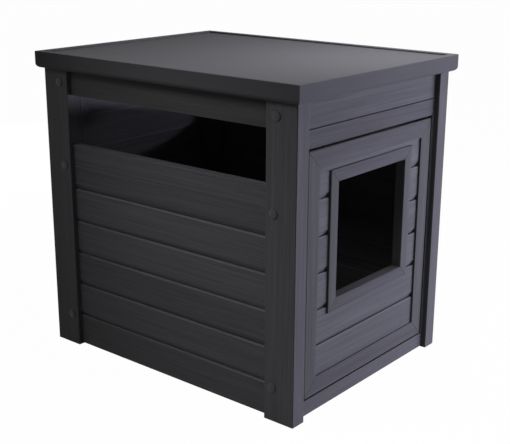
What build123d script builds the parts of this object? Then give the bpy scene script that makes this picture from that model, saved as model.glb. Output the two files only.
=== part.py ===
"""Litter box table: a slatted cabinet under a lipped table top, with a pivoting door that has a cat window.

Millimetres, +Z up. The door is on -Y, the long sides are on -X and +X.
The origin is on the floor, in the middle of the footprint.
"""
import os

from build123d import *

os.makedirs("parts", exist_ok=True)

# Whole table
top_length = 600.0  # front to back
top_width = 470.0  # across the door
table_height = 559.0
top_thickness = 30.0
top_overhang = 11.0

# Table top
lip_width = 13.0
lip_rise = 3.0
lip_ease = 1.5
under_round = 8.0

# Posts
post_wide = 60.0  # face on the long side
post_thick = 30.0  # face on the door side
post_ease = 1.5

# Walls
setback = 8.0  # walls and door behind the post faces
foot_gap = 3.0
wall_thick = 18.0
front_thick = 26.0
upper_rail_height = 45.0
header_height = 31.0
bottom_rail_height = 27.0
slat_height = 62.5
bottom_slat_height = 57.0
sill_height = 36.5
side_opening_height = 90.5
least_slat = 20.0
slat_drop = 10.0  # height of the bevel under a slat's face
slat_cut = 4.5  # depth of that bevel
slat_chamfer = 1.8
board_ease = 0.8
sill_ease = 2.0
slat_seam = 0.2
butt_clear = 0.3

# Tongues and grooves
tongue_thick = 5.0
tongue_reach = 6.0
tongue_clear = 0.2

# Jambs and back stiles
jamb_lip = 7.0
stile_width = 20.0

# Door
door_thick = 18.0
door_side_gap = 3.0
door_top_gap = 4.0
door_bottom_gap = 2.0
door_ease = 2.5
frame_width = 32.0
inner_ease = 1.0
field_setback = 3.0
field_thick = 14.0
field_above = 8.0  # slats left showing round the window trim
field_below = 102.0
field_beside = 29.5
trim_width = 22.0
trim_ease = 1.5

# Door pivots
pin_diameter = 6.0
pin_hold = 20.0  # length in the door
pin_end_clear = 2.0
pin_chamfer = 0.6
pivot_inset = 12.0
bush_diameter = 10.0
bush_flange_diameter = 14.0
bush_length = 12.0
running_clear = 0.05
press_clear = 0.1
seat_gap = 0.3

# Post bolts, their caps and threaded inserts
bolt_diameter = 6.0
bolt_head_diameter = 10.0
bolt_head_height = 6.0
bolt_tip_clear = 1.0
bolt_clear = 0.3
bore_diameter = 12.6
head_clear = 0.5
cap_diameter = 16.0
cap_rise = 2.4
cap_round = 1.8
cap_stem = 2.5
insert_diameter = 8.6
insert_gap = 3.0  # bore left behind the insert
blind_wall = 3.0  # stile left behind the bore
low_bolt_level = 60.0
middle_bolt_level = 353.5
top_bolt_edge = 6.0  # from the stile's front face

# Floor and cleats
floor_thick = 12.0
floor_clear = 0.5
floor_side_clear = 4.5
bearer_width = 20.0
cleat_size = 20.0
cleat_end_gap = 30.0
strip_ease = 1.0

# Screws that hold the top
screw_diameter = 4.0
screw_head_diameter = 8.0
screw_length = 32.0
screw_end_gap = 49.0  # from the cleat's end to the first screw
screw_count = 3

# Magnetic catch
catch_width = 14.0
catch_depth = 20.0
magnet_width = 6.0
magnet_depth = 10.0
magnet_height = 26.0
magnet_stand = 0.5
strike_width = 12.0
strike_thick = 1.0
small_screw_diameter = 3.4
small_screw_head = 6.4
small_screw_rise = 1.4
small_screw_length = 22.0
catch_screw_reach = 4.0  # from the magnet to the screw
catch_screw_margin = 6.0
strike_screw_length = 11.0
strike_screw_reach = 5.0  # from the case to the screw
strike_screw_margin = 5.0

# Levels and outlines that follow from the sizes above
post_height = table_height - top_thickness
body_width = top_width - 2 * top_overhang
body_depth = top_length - 2 * top_overhang
inner_width = body_width - 2 * post_thick
inner_depth = body_depth - 2 * post_wide
groove_width = tongue_thick + 2 * tongue_clear
groove_depth = tongue_reach + tongue_clear
wall_tongue = (slat_cut + wall_thick) / 2  # middle of the tongues, behind the bevels
field_tongue = (slat_cut + field_thick) / 2
rail_bottom = post_height - upper_rail_height
sill_top = rail_bottom - side_opening_height
sill_bottom = sill_top - sill_height
bottom_slat_top = foot_gap + bottom_slat_height
side_span = sill_bottom - bottom_slat_top
side_rows = int((side_span - least_slat) // slat_height)
side_rows_top = bottom_slat_top + side_rows * slat_height
back_span = rail_bottom - bottom_slat_top
back_rows = int((back_span - least_slat) // slat_height)
back_rows_top = bottom_slat_top + back_rows * slat_height
header_bottom = rail_bottom - header_height
bottom_rail_top = foot_gap + bottom_rail_height
face_x = body_width / 2 - setback
face_y = body_depth / 2 - setback
front_inside = body_depth / 2 - setback - front_thick
door_half = inner_width / 2 - jamb_lip - door_side_gap
door_bottom = bottom_rail_top + door_bottom_gap
door_top = header_bottom - door_top_gap
field_groove = field_setback + field_tongue - groove_width / 2  # from the door's face to the groove
door_low = (-door_half, door_bottom)
door_high = (door_half, door_top)
field_half = door_half - frame_width
field_bottom = door_bottom + frame_width
field_top = door_top - frame_width
trim_top = field_top - field_above
trim_bottom = field_bottom + field_below
trim_half = field_half - field_beside
pivot_x = door_half - pivot_inset
pivot_y = -face_y + door_thick / 2
flange_thick = door_bottom_gap - seat_gap
pin_length = pin_hold + door_bottom_gap + bush_length - pin_end_clear
bore_depth = cap_stem + head_clear + bolt_head_height
insert_bore = stile_width - blind_wall
insert_length = insert_bore - insert_gap
bolt_grip = insert_bore - bolt_tip_clear
bolt_y = (inner_depth / 2 + groove_depth + front_inside) / 2  # midway from the groove to the stile's face
top_bolt_y = front_inside - top_bolt_edge
top_bolt_level = rail_bottom + upper_rail_height / 2
bolt_spots = [(bolt_y, low_bolt_level), (bolt_y, middle_bolt_level), (top_bolt_y, top_bolt_level)]
door_back = -face_y + door_thick
catch_level = (door_bottom + door_top) / 2
catch_wall = -(inner_width / 2 - stile_width)
magnet_face = door_back + strike_thick + seat_gap
catch_screw_half = magnet_height / 2 + catch_screw_reach
catch_height = 2 * (catch_screw_half + catch_screw_margin)
strike_screw_half = catch_height / 2 + strike_screw_reach
strike_height = 2 * (strike_screw_half + strike_screw_margin)
catch_x = catch_wall + catch_width / 2
catch_y = magnet_face + magnet_stand + catch_depth / 2

# Each wall plane has its outer face at local X 0, local X inwards and local Y upwards
left_wall = Plane(origin=(-face_x, 0, 0), x_dir=(1, 0, 0), z_dir=(0, -1, 0))
right_wall = Plane(origin=(face_x, 0, 0), x_dir=(-1, 0, 0), z_dir=(0, 1, 0))
back_wall = Plane(origin=(0, face_y, 0), x_dir=(0, -1, 0), z_dir=(-1, 0, 0))
front_wall = Plane(origin=(0, -face_y, 0), x_dir=(0, 1, 0), z_dir=(1, 0, 0))
door_field = Plane(origin=(0, -face_y + field_setback, 0), x_dir=(0, 1, 0), z_dir=(1, 0, 0))
door_face = Plane(origin=(0, -face_y, 0), x_dir=(1, 0, 0), z_dir=(0, -1, 0))

# Faces that the small screws of the catch and the strike plate stand on
catch_corner = (catch_wall + catch_width, catch_y, catch_level)
strike_middle = (catch_x, door_back + strike_thick, catch_level)
catch_side = Plane(origin=catch_corner, x_dir=(0, 1, 0), z_dir=(1, 0, 0))
strike_back = Plane(origin=strike_middle, x_dir=(-1, 0, 0), z_dir=(0, 1, 0))
catch_spots = [(0, -catch_screw_half), (0, catch_screw_half)]
strike_spots = [(0, -strike_screw_half), (0, strike_screw_half)]


def save(part, name):
    """Name a piece and write its STEP file."""
    part.label = name
    export_step(part, f"parts/{name}.step")


def strip(low, high, side, near, far):
    """Corners of a mitred strip along one side of a rectangle, between two insets.

    The sides are 0 low, 1 right, 2 high and 3 left.
    """
    rings = []
    for inset in (near, far):
        x0, x1 = low[0] + inset, high[0] - inset
        y0, y1 = low[1] + inset, high[1] - inset
        rings.append([(x0, y0), (x1, y0), (x1, y1), (x0, y1)])
    after = (side + 1) % 4
    return [rings[0][side], rings[0][after], rings[1][after], rings[1][side]]


def board(
    wall,
    span,
    low,
    high,
    thick,
    middle=0.0,
    tongue_at=wall_tongue,
    bevel_low=False,
    round_low=0.0,
    ease_high=0.0,
    tongue=False,
    groove=False,
    ends=True,
):
    """A board or slat of a wall, with optional tongue above, groove below and end tongues."""
    base = low + (slat_seam if groove else 0)
    with BuildPart() as piece:
        with BuildSketch(wall.offset(middle)) as profile:
            with Locations((thick / 2, (base + high) / 2)):
                Rectangle(thick, high - base)
            if bevel_low:
                Polygon((0, base), (slat_cut, base), (0, base + slat_drop), align=None, mode=Mode.SUBTRACT)
            if round_low:
                fillet(profile.vertices().group_by(Axis.Y)[0].sort_by(Axis.X)[0], round_low)
            if ease_high:
                chamfer(profile.vertices().group_by(Axis.Y)[-1].sort_by(Axis.X)[0], ease_high)
            if tongue:
                with Locations((tongue_at, high + tongue_reach / 2)):
                    Rectangle(tongue_thick, tongue_reach)
            if groove:
                with Locations((tongue_at, base + groove_depth / 2)):
                    Rectangle(groove_width, groove_depth, mode=Mode.SUBTRACT)
        extrude(amount=span / 2 + (tongue_reach if ends else 0), both=True)
        if ends:
            front = tongue_at - tongue_thick / 2
            rear = tongue_at + tongue_thick / 2
            for end in (-1, 1):
                with BuildSketch(wall.offset(middle + end * span / 2)):
                    for near, far in ((0, front), (rear, thick)):
                        with Locations(((near + far) / 2, (low + high) / 2)):
                            Rectangle(far - near, high - low)
                extrude(amount=end * tongue_reach, mode=Mode.SUBTRACT)
    return piece.part


def bolt_axes(side, end, depth):
    """Planes on one post's bolt axes, facing outwards, with the origin below the post's long-side face."""
    x = side * (body_width / 2 - depth)
    planes = []
    for y, level in bolt_spots:
        origin = (x, end * y, level)
        planes.append(Plane(origin=origin, x_dir=(0, 0, 1), z_dir=(side, 0, 0)))
    return planes


corners = [(side, end) for side in (-1, 1) for end in (-1, 1)]


# Corner posts, grooved for the side walls and bored for the bolts
def corner_post(side, end):
    with BuildPart() as post:
        with BuildSketch():
            with Locations((side * (body_width - post_thick) / 2, end * (body_depth - post_wide) / 2)):
                RectangleRounded(post_thick, post_wide, post_ease)
        extrude(amount=post_height)
        groove_at = (side * (face_x - wall_tongue), end * (inner_depth + groove_depth) / 2)
        with BuildSketch():
            with Locations(groove_at):
                Rectangle(groove_width, groove_depth)
        extrude(amount=sill_top, mode=Mode.SUBTRACT)
        with BuildSketch(Plane.XY.offset(rail_bottom)):
            with Locations(groove_at):
                Rectangle(groove_width, groove_depth)
        extrude(amount=upper_rail_height, mode=Mode.SUBTRACT)
        with Locations(*bolt_axes(side, end, 0)):
            CounterBoreHole(bolt_diameter / 2 + bolt_clear, bore_diameter / 2, bore_depth, post_thick)
    return post.part


save(corner_post(-1, -1), "post_front_left")
save(corner_post(1, -1), "post_front_right")
save(corner_post(-1, 1), "post_back_left")
save(corner_post(1, 1), "post_back_right")

# Table top: a panel tongued into four mitred edge strips that stand above it as a lip
top_low = (-top_width / 2, -top_length / 2)
top_high = (top_width / 2, top_length / 2)
panel_top = table_height - lip_rise
panel_thick = top_thickness - lip_rise
tongue_level = post_height + panel_thick / 2
cleat_length = inner_depth - 2 * cleat_end_gap
screw_x = face_x - wall_thick - cleat_size / 2
screw_pitch = (cleat_length - 2 * screw_end_gap) / (screw_count - 1)
screw_steps = [(n - (screw_count - 1) / 2) * screw_pitch for n in range(screw_count)]
screw_spots = [(side * screw_x, step) for side in (-1, 1) for step in screw_steps]

with BuildPart() as top_panel:
    with BuildSketch(Plane.XY.offset(post_height)):
        Rectangle(top_width - 2 * lip_width, top_length - 2 * lip_width)
    extrude(amount=panel_thick)
    with BuildSketch(Plane.XY.offset(tongue_level - tongue_thick / 2)):
        Rectangle(top_width - 2 * (lip_width - tongue_reach), top_length - 2 * (lip_width - tongue_reach))
    extrude(amount=tongue_thick)
    with BuildSketch(Plane.XY.offset(post_height)):
        with Locations(*screw_spots):
            Circle(screw_diameter / 2 + bolt_clear)
    extrude(amount=screw_length - cleat_size + bolt_tip_clear, mode=Mode.SUBTRACT)
save(top_panel.part, "top_panel")


def top_edge(side):
    with BuildPart() as edge:
        with BuildSketch(Plane.XY.offset(post_height)):
            Polygon(*strip(top_low, top_high, side, 0, lip_width), align=None)
        extrude(amount=top_thickness)
        fillet(edge.edges().group_by(Axis.Z)[0].sort_by(SortBy.LENGTH)[-1], under_round)
        fillet(edge.edges().group_by(Axis.Z)[-1].sort_by(SortBy.LENGTH)[-2:], lip_ease)
        with BuildSketch(Plane.XY.offset(tongue_level - groove_width / 2)):
            Polygon(*strip(top_low, top_high, side, lip_width - groove_depth, lip_width), align=None)
        extrude(amount=groove_width, mode=Mode.SUBTRACT)
    return edge.part


save(top_edge(0), "top_edge_front")
save(top_edge(1), "top_edge_right")
save(top_edge(2), "top_edge_back")
save(top_edge(3), "top_edge_left")


def slat_levels(rows):
    """Lower and upper levels of full slats stacked on the bottom slat."""
    lows = [bottom_slat_top + row * slat_height for row in range(rows)]
    return [(low, low + slat_height) for low in lows]


full_slat = {"bevel_low": True, "ease_high": slat_chamfer, "tongue": True, "groove": True}
last_slat = {"bevel_low": True, "ease_high": board_ease, "tongue": True, "groove": True}


# Long sides: upper rail, open slot, sill board and tongued slats
def side_board(wall, low, high, **shape):
    return board(wall, inner_depth, low, high, wall_thick, **shape)


for wall, name in ((left_wall, "left"), (right_wall, "right")):
    upper = side_board(wall, rail_bottom, post_height, round_low=board_ease)
    save(upper, f"{name}_upper_rail")
    with BuildPart() as sill:
        add(side_board(wall, sill_bottom, sill_top, round_low=board_ease, groove=True))
        rim = sill.edges().group_by(Axis.Z)[-1].filter_by(Axis.Y)
        fillet(rim.group_by(SortBy.LENGTH)[-1], sill_ease)
    save(sill.part, f"{name}_sill")
    save(side_board(wall, side_rows_top, sill_bottom, **last_slat), f"{name}_short_slat")
    with BuildPart() as slats:
        for low, high in slat_levels(side_rows):
            add(side_board(wall, low, high, **full_slat))
    save(slats.part, f"{name}_slats")
    lowest = side_board(wall, foot_gap, bottom_slat_top, ease_high=slat_chamfer, tongue=True)
    save(lowest, f"{name}_bottom_slat")


# Back wall: the same boards, closed, between the back posts
def back_board(low, high, **shape):
    return board(back_wall, inner_width - 2 * butt_clear, low, high, wall_thick, ends=False, **shape)


save(back_board(rail_bottom, post_height, round_low=board_ease, groove=True), "back_upper_rail")
save(back_board(back_rows_top, rail_bottom, **last_slat), "back_top_slat")
with BuildPart() as back_slats:
    for low, high in slat_levels(back_rows):
        add(back_board(low, high, **full_slat))
save(back_slats.part, "back_slats")
save(back_board(foot_gap, bottom_slat_top, ease_high=slat_chamfer, tongue=True), "back_bottom_slat")


# Front frame: apron, header and bottom rail, with bores for the pivot bushes
def front_board(low, high, **shape):
    return board(front_wall, inner_width - 2 * butt_clear, low, high, front_thick, ends=False, **shape)


lower_seat = Plane(origin=(pivot_x, pivot_y, bottom_rail_top))
upper_seat = Plane(origin=(pivot_x, pivot_y, header_bottom), z_dir=(0, 0, -1))
save(front_board(rail_bottom, post_height, round_low=board_ease), "apron")
with BuildPart() as header:
    add(front_board(header_bottom, rail_bottom, round_low=board_ease, ease_high=board_ease))
    with Locations(upper_seat):
        Hole(bush_diameter / 2 + press_clear, bush_length + seat_gap)
save(header.part, "header")
with BuildPart() as bottom_rail:
    add(front_board(foot_gap, bottom_rail_top, round_low=board_ease, ease_high=board_ease))
    with Locations(lower_seat):
        Hole(bush_diameter / 2 + press_clear, bush_length + seat_gap)
save(bottom_rail.part, "bottom_rail")


# Stiles inside the posts: the front pair carry a thin lip beside the door, all four hold the bolt inserts
def stile(side, end, depth, lip):
    outer = side * inner_width / 2
    with BuildPart() as piece:
        with BuildSketch(Plane.XY.offset(foot_gap)):
            with Locations((outer - side * stile_width / 2, end * (inner_depth + depth) / 2)):
                Rectangle(stile_width, depth)
        extrude(amount=post_height - foot_gap)
        if lip:
            with BuildSketch(Plane.XY.offset(bottom_rail_top)):
                with Locations((outer - side * lip / 2, end * (face_y - front_thick / 2))):
                    Rectangle(lip, front_thick)
            extrude(amount=header_bottom - bottom_rail_top)
        with Locations(*bolt_axes(side, end, post_thick)):
            Hole(insert_diameter / 2 + press_clear, insert_bore)
    return piece.part


front_stile_depth = front_inside - inner_depth / 2
back_stile_depth = face_y - wall_thick - inner_depth / 2
with BuildPart() as jamb_left:
    add(stile(-1, -1, front_stile_depth, jamb_lip))
    with Locations(catch_side):
        with Locations(*catch_spots):
            Hole(small_screw_diameter / 2 + press_clear, small_screw_length + seat_gap)
save(jamb_left.part, "jamb_left")
save(stile(1, -1, front_stile_depth, jamb_lip), "jamb_right")
save(stile(-1, 1, back_stile_depth, 0), "back_stile_left")
save(stile(1, 1, back_stile_depth, 0), "back_stile_right")

# Bolts through the posts into the inserts, each under a domed cap
with BuildPart() as bolt:
    with BuildSketch():
        Circle(bolt_head_diameter / 2)
    extrude(amount=bolt_head_height)
    with BuildSketch():
        Circle(bolt_diameter / 2)
    extrude(amount=-(post_thick - bore_depth + bolt_grip))
    with BuildSketch(Plane.XY.offset(bolt_head_height)):
        RegularPolygon(bolt_head_diameter / 4, 6)
    extrude(amount=-bolt_head_height / 2, mode=Mode.SUBTRACT)
with BuildPart() as cap:
    with BuildSketch():
        Circle(cap_diameter / 2)
    extrude(amount=cap_rise)
    fillet(cap.edges().group_by(Axis.Z)[-1], cap_round)
    with BuildSketch():
        Circle(bore_diameter / 2 - bolt_clear)
    extrude(amount=-cap_stem)
with BuildPart() as insert:
    with BuildSketch():
        Circle(insert_diameter / 2)
        Circle(bolt_diameter / 2 + press_clear, mode=Mode.SUBTRACT)
    extrude(amount=-insert_length)
fastenings = (
    (bolt, bore_depth, "post_bolts"),
    (cap, 0, "bolt_caps"),
    (insert, post_thick, "bolt_inserts"),
)
for piece, depth, name in fastenings:
    axes = [axis for side, end in corners for axis in bolt_axes(side, end, depth)]
    with BuildPart() as group:
        with Locations(*axes):
            add(piece.part)
    save(group.part, name)

# Floor panel, notched round the stiles, on two bearers
floor_front = -front_inside + floor_clear
floor_rear = face_y - wall_thick - floor_clear
floor_width = 2 * (face_x - wall_thick - floor_side_clear)
floor_bottom = bottom_rail_top - floor_thick
with BuildPart() as floor_panel:
    with BuildSketch(Plane.XY.offset(floor_bottom)):
        with Locations((0, (floor_front + floor_rear) / 2)):
            Rectangle(floor_width, floor_rear - floor_front)
        for y, depth in ((floor_front, front_stile_depth), (floor_rear, back_stile_depth)):
            with Locations((-inner_width / 2, y), (inner_width / 2, y)):
                Rectangle(2 * (stile_width + floor_clear), 2 * depth, mode=Mode.SUBTRACT)
    extrude(amount=floor_thick)
save(floor_panel.part, "floor_panel")

# Bearers under the floor and cleats under the top, along the long sides
for side, name in ((-1, "left"), (1, "right")):
    wall_inside = side * (face_x - wall_thick)
    with BuildPart() as bearer:
        with BuildSketch(Plane.XY.offset(foot_gap)):
            with Locations((wall_inside - side * bearer_width / 2, 0)):
                Rectangle(bearer_width, inner_depth - 2 * butt_clear)
        extrude(amount=floor_bottom - foot_gap)
    save(bearer.part, f"floor_bearer_{name}")
    with BuildPart() as cleat:
        with BuildSketch(Plane.XY.offset(post_height - cleat_size)):
            with Locations((wall_inside - side * cleat_size / 2, 0)):
                Rectangle(cleat_size, cleat_length)
        extrude(amount=cleat_size)
        chamfer(cleat.edges().group_by(Axis.Z)[0].filter_by(Axis.Y), strip_ease)
        with Locations(*[(x, y, post_height) for x, y in screw_spots if x * side > 0]):
            Hole(screw_diameter / 2 + bolt_clear)
    save(cleat.part, f"top_cleat_{name}")

# Screws up through the cleats into the top panel
with BuildPart() as screw:
    with BuildSketch():
        Circle(screw_head_diameter / 2)
    extrude(amount=-small_screw_rise)
    with BuildSketch():
        Circle(screw_diameter / 2)
    extrude(amount=screw_length)
with BuildPart() as top_screws:
    with Locations(*[(x, y, post_height - cleat_size) for x, y in screw_spots]):
        add(screw.part)
save(top_screws.part, "top_screws")


# Door frame: four mitred members, grooved inside for the slats and bored for the pivot pins
pin_mouths = [
    Plane(origin=(pivot_x, pivot_y, door_bottom), z_dir=(0, 0, -1)),
    Plane(origin=(pivot_x, pivot_y, door_top)),
]


def frame_member(side):
    with BuildPart() as member:
        with BuildSketch(door_face):
            Polygon(*strip(door_low, door_high, side, 0, frame_width), align=None)
        extrude(amount=-door_thick)
        fillet(member.edges().group_by(Axis.Y)[0].sort_by(SortBy.LENGTH)[-1], door_ease)
        fillet(member.edges().group_by(Axis.Y)[0].sort_by(SortBy.LENGTH)[-2], inner_ease)
        with BuildSketch(door_face.offset(-field_groove)):
            Polygon(*strip(door_low, door_high, side, frame_width - groove_depth, frame_width), align=None)
        extrude(amount=-groove_width, mode=Mode.SUBTRACT)
        with Locations(*pin_mouths):
            Hole(pin_diameter / 2 + press_clear, pin_hold + seat_gap)
    return member.part


save(frame_member(0), "door_bottom_rail")
save(frame_member(1), "door_stile_right")
save(frame_member(2), "door_top_rail")
with BuildPart() as door_stile_left:
    add(frame_member(3))
    with Locations(strike_back):
        with Locations(*strike_spots):
            Hole(small_screw_diameter / 2 + press_clear, strike_screw_length + seat_gap)
save(door_stile_left.part, "door_stile_left")

# Window trim: four mitred strips that line the cat window through the full door thickness
trim_low = (-trim_half, trim_bottom)
trim_high = (trim_half, trim_top)


def trim_member(side):
    with BuildPart() as member:
        with BuildSketch(door_face):
            Polygon(*strip(trim_low, trim_high, side, 0, trim_width), align=None)
        extrude(amount=-door_thick)
        fillet(member.edges().group_by(Axis.Y)[0].sort_by(SortBy.LENGTH)[-2:], trim_ease)
        with BuildSketch(door_face.offset(-field_groove)):
            Polygon(*strip(trim_low, trim_high, side, 0, groove_depth), align=None)
        extrude(amount=-groove_width, mode=Mode.SUBTRACT)
    return member.part


save(trim_member(0), "window_sill")
save(trim_member(1), "window_trim_right")
save(trim_member(2), "window_trim_head")
save(trim_member(3), "window_trim_left")

# Door field: rows of tongued slats, cut short beside the window and notched above and below it
field_height = field_top - field_bottom
field_rows = int((field_height - slat_height) // slat_height)
end_row = (field_height - field_rows * slat_height) / 2
first_joint = field_bottom + end_row
joints = [first_joint + n * slat_height for n in range(field_rows + 1)]
levels = [field_bottom, *joints, field_top]
trim_middle = (trim_bottom + trim_top) / 2
trim_height = trim_top - trim_bottom


def field_slat(low, high, span, middle):
    """One slat of the door's field, tongued into the frame or the slat above it."""
    first = low == levels[0]
    last = high == levels[-1]
    ease = 0 if last else slat_chamfer
    shape = {"bevel_low": not first, "ease_high": ease, "tongue": True, "groove": not first}
    with BuildPart() as piece:
        add(board(door_field, span, low, high, field_thick, middle, field_tongue, **shape))
        if first:
            with BuildSketch(door_field.offset(middle)):
                with Locations((field_tongue, low - tongue_reach / 2)):
                    Rectangle(tongue_thick, tongue_reach)
            extrude(amount=span / 2, both=True)
    return piece.part


def notched(slat):
    """The slat with the window cut out of it, leaving tongues that enter the trim's grooves."""
    with BuildPart() as piece:
        add(slat)
        with BuildSketch(door_face):
            with Locations((0, trim_middle)):
                Rectangle(2 * (trim_half - tongue_reach), trim_height - 2 * tongue_reach)
        extrude(amount=-door_thick, mode=Mode.SUBTRACT)
        front = field_tongue - tongue_thick / 2
        rear = field_tongue + tongue_thick / 2
        for near, far in ((0, front), (rear, field_thick)):
            with BuildSketch(door_face.offset(-field_setback - near)):
                with Locations((0, trim_middle)):
                    Rectangle(2 * trim_half, trim_height)
            extrude(amount=near - far, mode=Mode.SUBTRACT)
    return piece.part


rows = list(zip(levels[:-1], levels[1:]))
below = [row for row in rows if row[0] < trim_bottom]
above = [row for row in rows if row[0] >= trim_bottom and row[1] > trim_top]
beside = [row for row in rows if row not in below and row not in above]
with BuildPart() as lower_slats:
    for low, high in below:
        add(notched(field_slat(low, high, 2 * field_half, 0)))
save(lower_slats.part, "door_lower_slats")
for side, name in ((-1, "left"), (1, "right")):
    with BuildPart() as short_slats:
        for low, high in beside:
            add(field_slat(low, high, field_half - trim_half, side * (field_half + trim_half) / 2))
    save(short_slats.part, f"door_short_slats_{name}")
with BuildPart() as upper_slats:
    for low, high in above:
        add(notched(field_slat(low, high, 2 * field_half, 0)))
save(upper_slats.part, "door_top_slat")

# Door pivots: plain pins in the door, turning in flanged bushes in the header and bottom rail
with BuildPart() as pin:
    with BuildSketch():
        Circle(pin_diameter / 2)
    extrude(amount=pin_length)
    chamfer(pin.edges(), pin_chamfer)
with BuildPart() as pivot_pins:
    lower_end = door_bottom + pin_hold - pin_length
    upper_end = door_top - pin_hold
    with Locations((pivot_x, pivot_y, lower_end), (pivot_x, pivot_y, upper_end)):
        add(pin.part)
save(pivot_pins.part, "pivot_pins")
with BuildPart() as bush:
    with BuildSketch():
        Circle(bush_flange_diameter / 2)
    extrude(amount=flange_thick)
    with BuildSketch():
        Circle(bush_diameter / 2)
    extrude(amount=-bush_length)
    with Locations((0, 0, flange_thick)):
        Hole(pin_diameter / 2 + running_clear)
with BuildPart() as pivot_bushes:
    with Locations(lower_seat, upper_seat):
        add(bush.part)
save(pivot_bushes.part, "pivot_bushes")

# Magnetic catch on the free side: case and magnet on the jamb, strike plate on the door
with BuildPart() as catch_case:
    with Locations((catch_x, catch_y, catch_level)):
        Box(catch_width, catch_depth, catch_height)
    fillet(catch_case.edges().group_by(Axis.X)[-1], strip_ease)
    with Locations((catch_x, magnet_face + magnet_depth / 2, catch_level)):
        Box(magnet_width, magnet_depth, magnet_height, mode=Mode.SUBTRACT)
    with Locations(catch_side):
        with Locations(*catch_spots):
            Hole(small_screw_diameter / 2 + bolt_clear, catch_width)
save(catch_case.part, "catch_case")
with BuildPart() as catch_magnet:
    with Locations((catch_x, magnet_face + magnet_depth / 2, catch_level)):
        Box(magnet_width, magnet_depth, magnet_height)
save(catch_magnet.part, "catch_magnet")
with BuildPart() as strike_plate:
    with Locations((catch_x, door_back + strike_thick / 2, catch_level)):
        Box(strike_width, strike_thick, strike_height)
    fillet(strike_plate.edges().filter_by(Axis.Y), strip_ease)
    with Locations(strike_back):
        with Locations(*strike_spots):
            Hole(small_screw_diameter / 2 + bolt_clear, strike_thick)
save(strike_plate.part, "strike_plate")


def small_screws(face, spots, length):
    """Round-headed screws on a face, head outwards."""
    with BuildPart() as screws:
        with BuildSketch(face):
            with Locations(*spots):
                Circle(small_screw_head / 2)
        extrude(amount=small_screw_rise)
        with BuildSketch(face):
            with Locations(*spots):
                Circle(small_screw_diameter / 2)
        extrude(amount=-length)
    return screws.part


save(small_screws(catch_side, catch_spots, small_screw_length), "catch_screws")
save(small_screws(strike_back, strike_spots, strike_screw_length), "strike_screws")
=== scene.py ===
"""Looks of the litter box table: grained composite boards, domed caps and a satin top on a white stage."""
import math
from collections import namedtuple

import bmesh
import bpy
import numpy as np
from bpy.props import FloatProperty, FloatVectorProperty, IntProperty, PointerProperty
from mathutils import Matrix, Vector


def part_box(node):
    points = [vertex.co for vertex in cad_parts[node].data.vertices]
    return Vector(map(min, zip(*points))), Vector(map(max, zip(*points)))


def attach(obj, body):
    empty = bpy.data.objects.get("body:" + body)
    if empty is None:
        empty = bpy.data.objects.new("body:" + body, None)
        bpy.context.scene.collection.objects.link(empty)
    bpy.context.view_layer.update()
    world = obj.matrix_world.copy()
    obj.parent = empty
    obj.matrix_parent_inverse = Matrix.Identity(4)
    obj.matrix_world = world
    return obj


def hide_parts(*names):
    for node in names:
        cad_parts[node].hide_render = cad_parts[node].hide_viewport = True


bl_info = {
    "name": "Litter box table",
    "version": (1, 0, 0),
    "blender": (4, 5, 0),
    "location": "View3D > Sidebar > Table",
    "description": "Gives a slatted litter box table its grained boards, caps, finishes and stage",
    "category": "Object",
}

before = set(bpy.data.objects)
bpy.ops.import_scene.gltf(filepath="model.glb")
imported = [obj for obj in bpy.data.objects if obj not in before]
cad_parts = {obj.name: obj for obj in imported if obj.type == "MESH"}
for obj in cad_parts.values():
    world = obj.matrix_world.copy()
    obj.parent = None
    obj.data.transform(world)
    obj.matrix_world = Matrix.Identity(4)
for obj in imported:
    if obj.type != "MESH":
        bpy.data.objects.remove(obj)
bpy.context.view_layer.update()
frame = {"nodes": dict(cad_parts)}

# A wall of slats: a point on its face, the way in, the axis along the slats and their two ends
Wall = namedtuple("Wall", "face inward axis start stop")
# Noise for a finish: waves per metre along and across the grain, its detail, roughness and shift
Grain = namedtuple("Grain", "along across detail roughness shift")

UP = Vector((0, 0, 1))
AXES = {"X": Vector((1, 0, 0)), "Y": Vector((0, 1, 0)), "Z": UP}
WHITE = (1.0, 1.0, 1.0)
MIDDLE = 0.5  # average of the noise
WELD = 1e-6  # points closer than this are one, in metres

# Sockets of a Mix node that mixes colours, whose names it has more than once
MIX_SHARE = 0
MIX_FIRST = 6
MIX_SECOND = 7
MIX_RESULT = 2

# Finishes
BOARD_FINE = Grain(along=6.0, across=330.0, detail=2.5, roughness=0.6, shift=0.0)
BOARD_BROAD = Grain(along=2.5, across=70.0, detail=3.0, roughness=0.55, shift=11.0)
BOARD_SPECK = Grain(along=260.0, across=900.0, detail=2.0, roughness=0.5, shift=5.0)
ROW_TONE = 0.22  # how much the tone differs from slat to slat
ROW_SHIFT = 3.7  # moves the grain from slat to slat
# Painted highlight: a lighter band under each slat's top chamfer, standing for light that catches the chamfer
HIGHLIGHT_FROM = 1.4  # where the painted highlight starts, in chamfers below a slat's top
HIGHLIGHT_FADE = 0.4  # how soon it is full, in chamfers
HIGHLIGHT_LEAST = 0.2  # share of the painted highlight where it is faintest
HIGHLIGHT_PATCHES = 0.35  # how much more of it the patches have
HIGHLIGHT_GAIN = 2.2  # how much lighter than the board the painted highlight is
TOP_FINE = Grain(along=9.0, across=420.0, detail=4.0, roughness=0.6, shift=0.0)
TOP_CLOUD = Grain(along=5.0, across=9.0, detail=3.0, roughness=0.5, shift=4.0)
METAL_CLOUD = Grain(along=160.0, across=160.0, detail=4.0, roughness=0.6, shift=0.0)
METAL_MARKS = Grain(along=1800.0, across=300.0, detail=2.0, roughness=0.5, shift=2.0)
CLOUD_PITS = 12  # skin pits across one cloud of moulded plastic

# Relief of the slats
RELIEF_ALONG = 9.0
RELIEF_ACROSS = 330.0
RELIEF_DETAIL = 3.0
RELIEF_ROUGHNESS = 0.55
RELIEF_SHIFT = 2.3  # moves the relief from slat to slat
FACING_FROM = 0.7  # least cosine to the front at which a face takes relief
FACING_GAIN = 4.0  # how fast the relief grows from there
BEVEL_STEPS = 10

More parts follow.
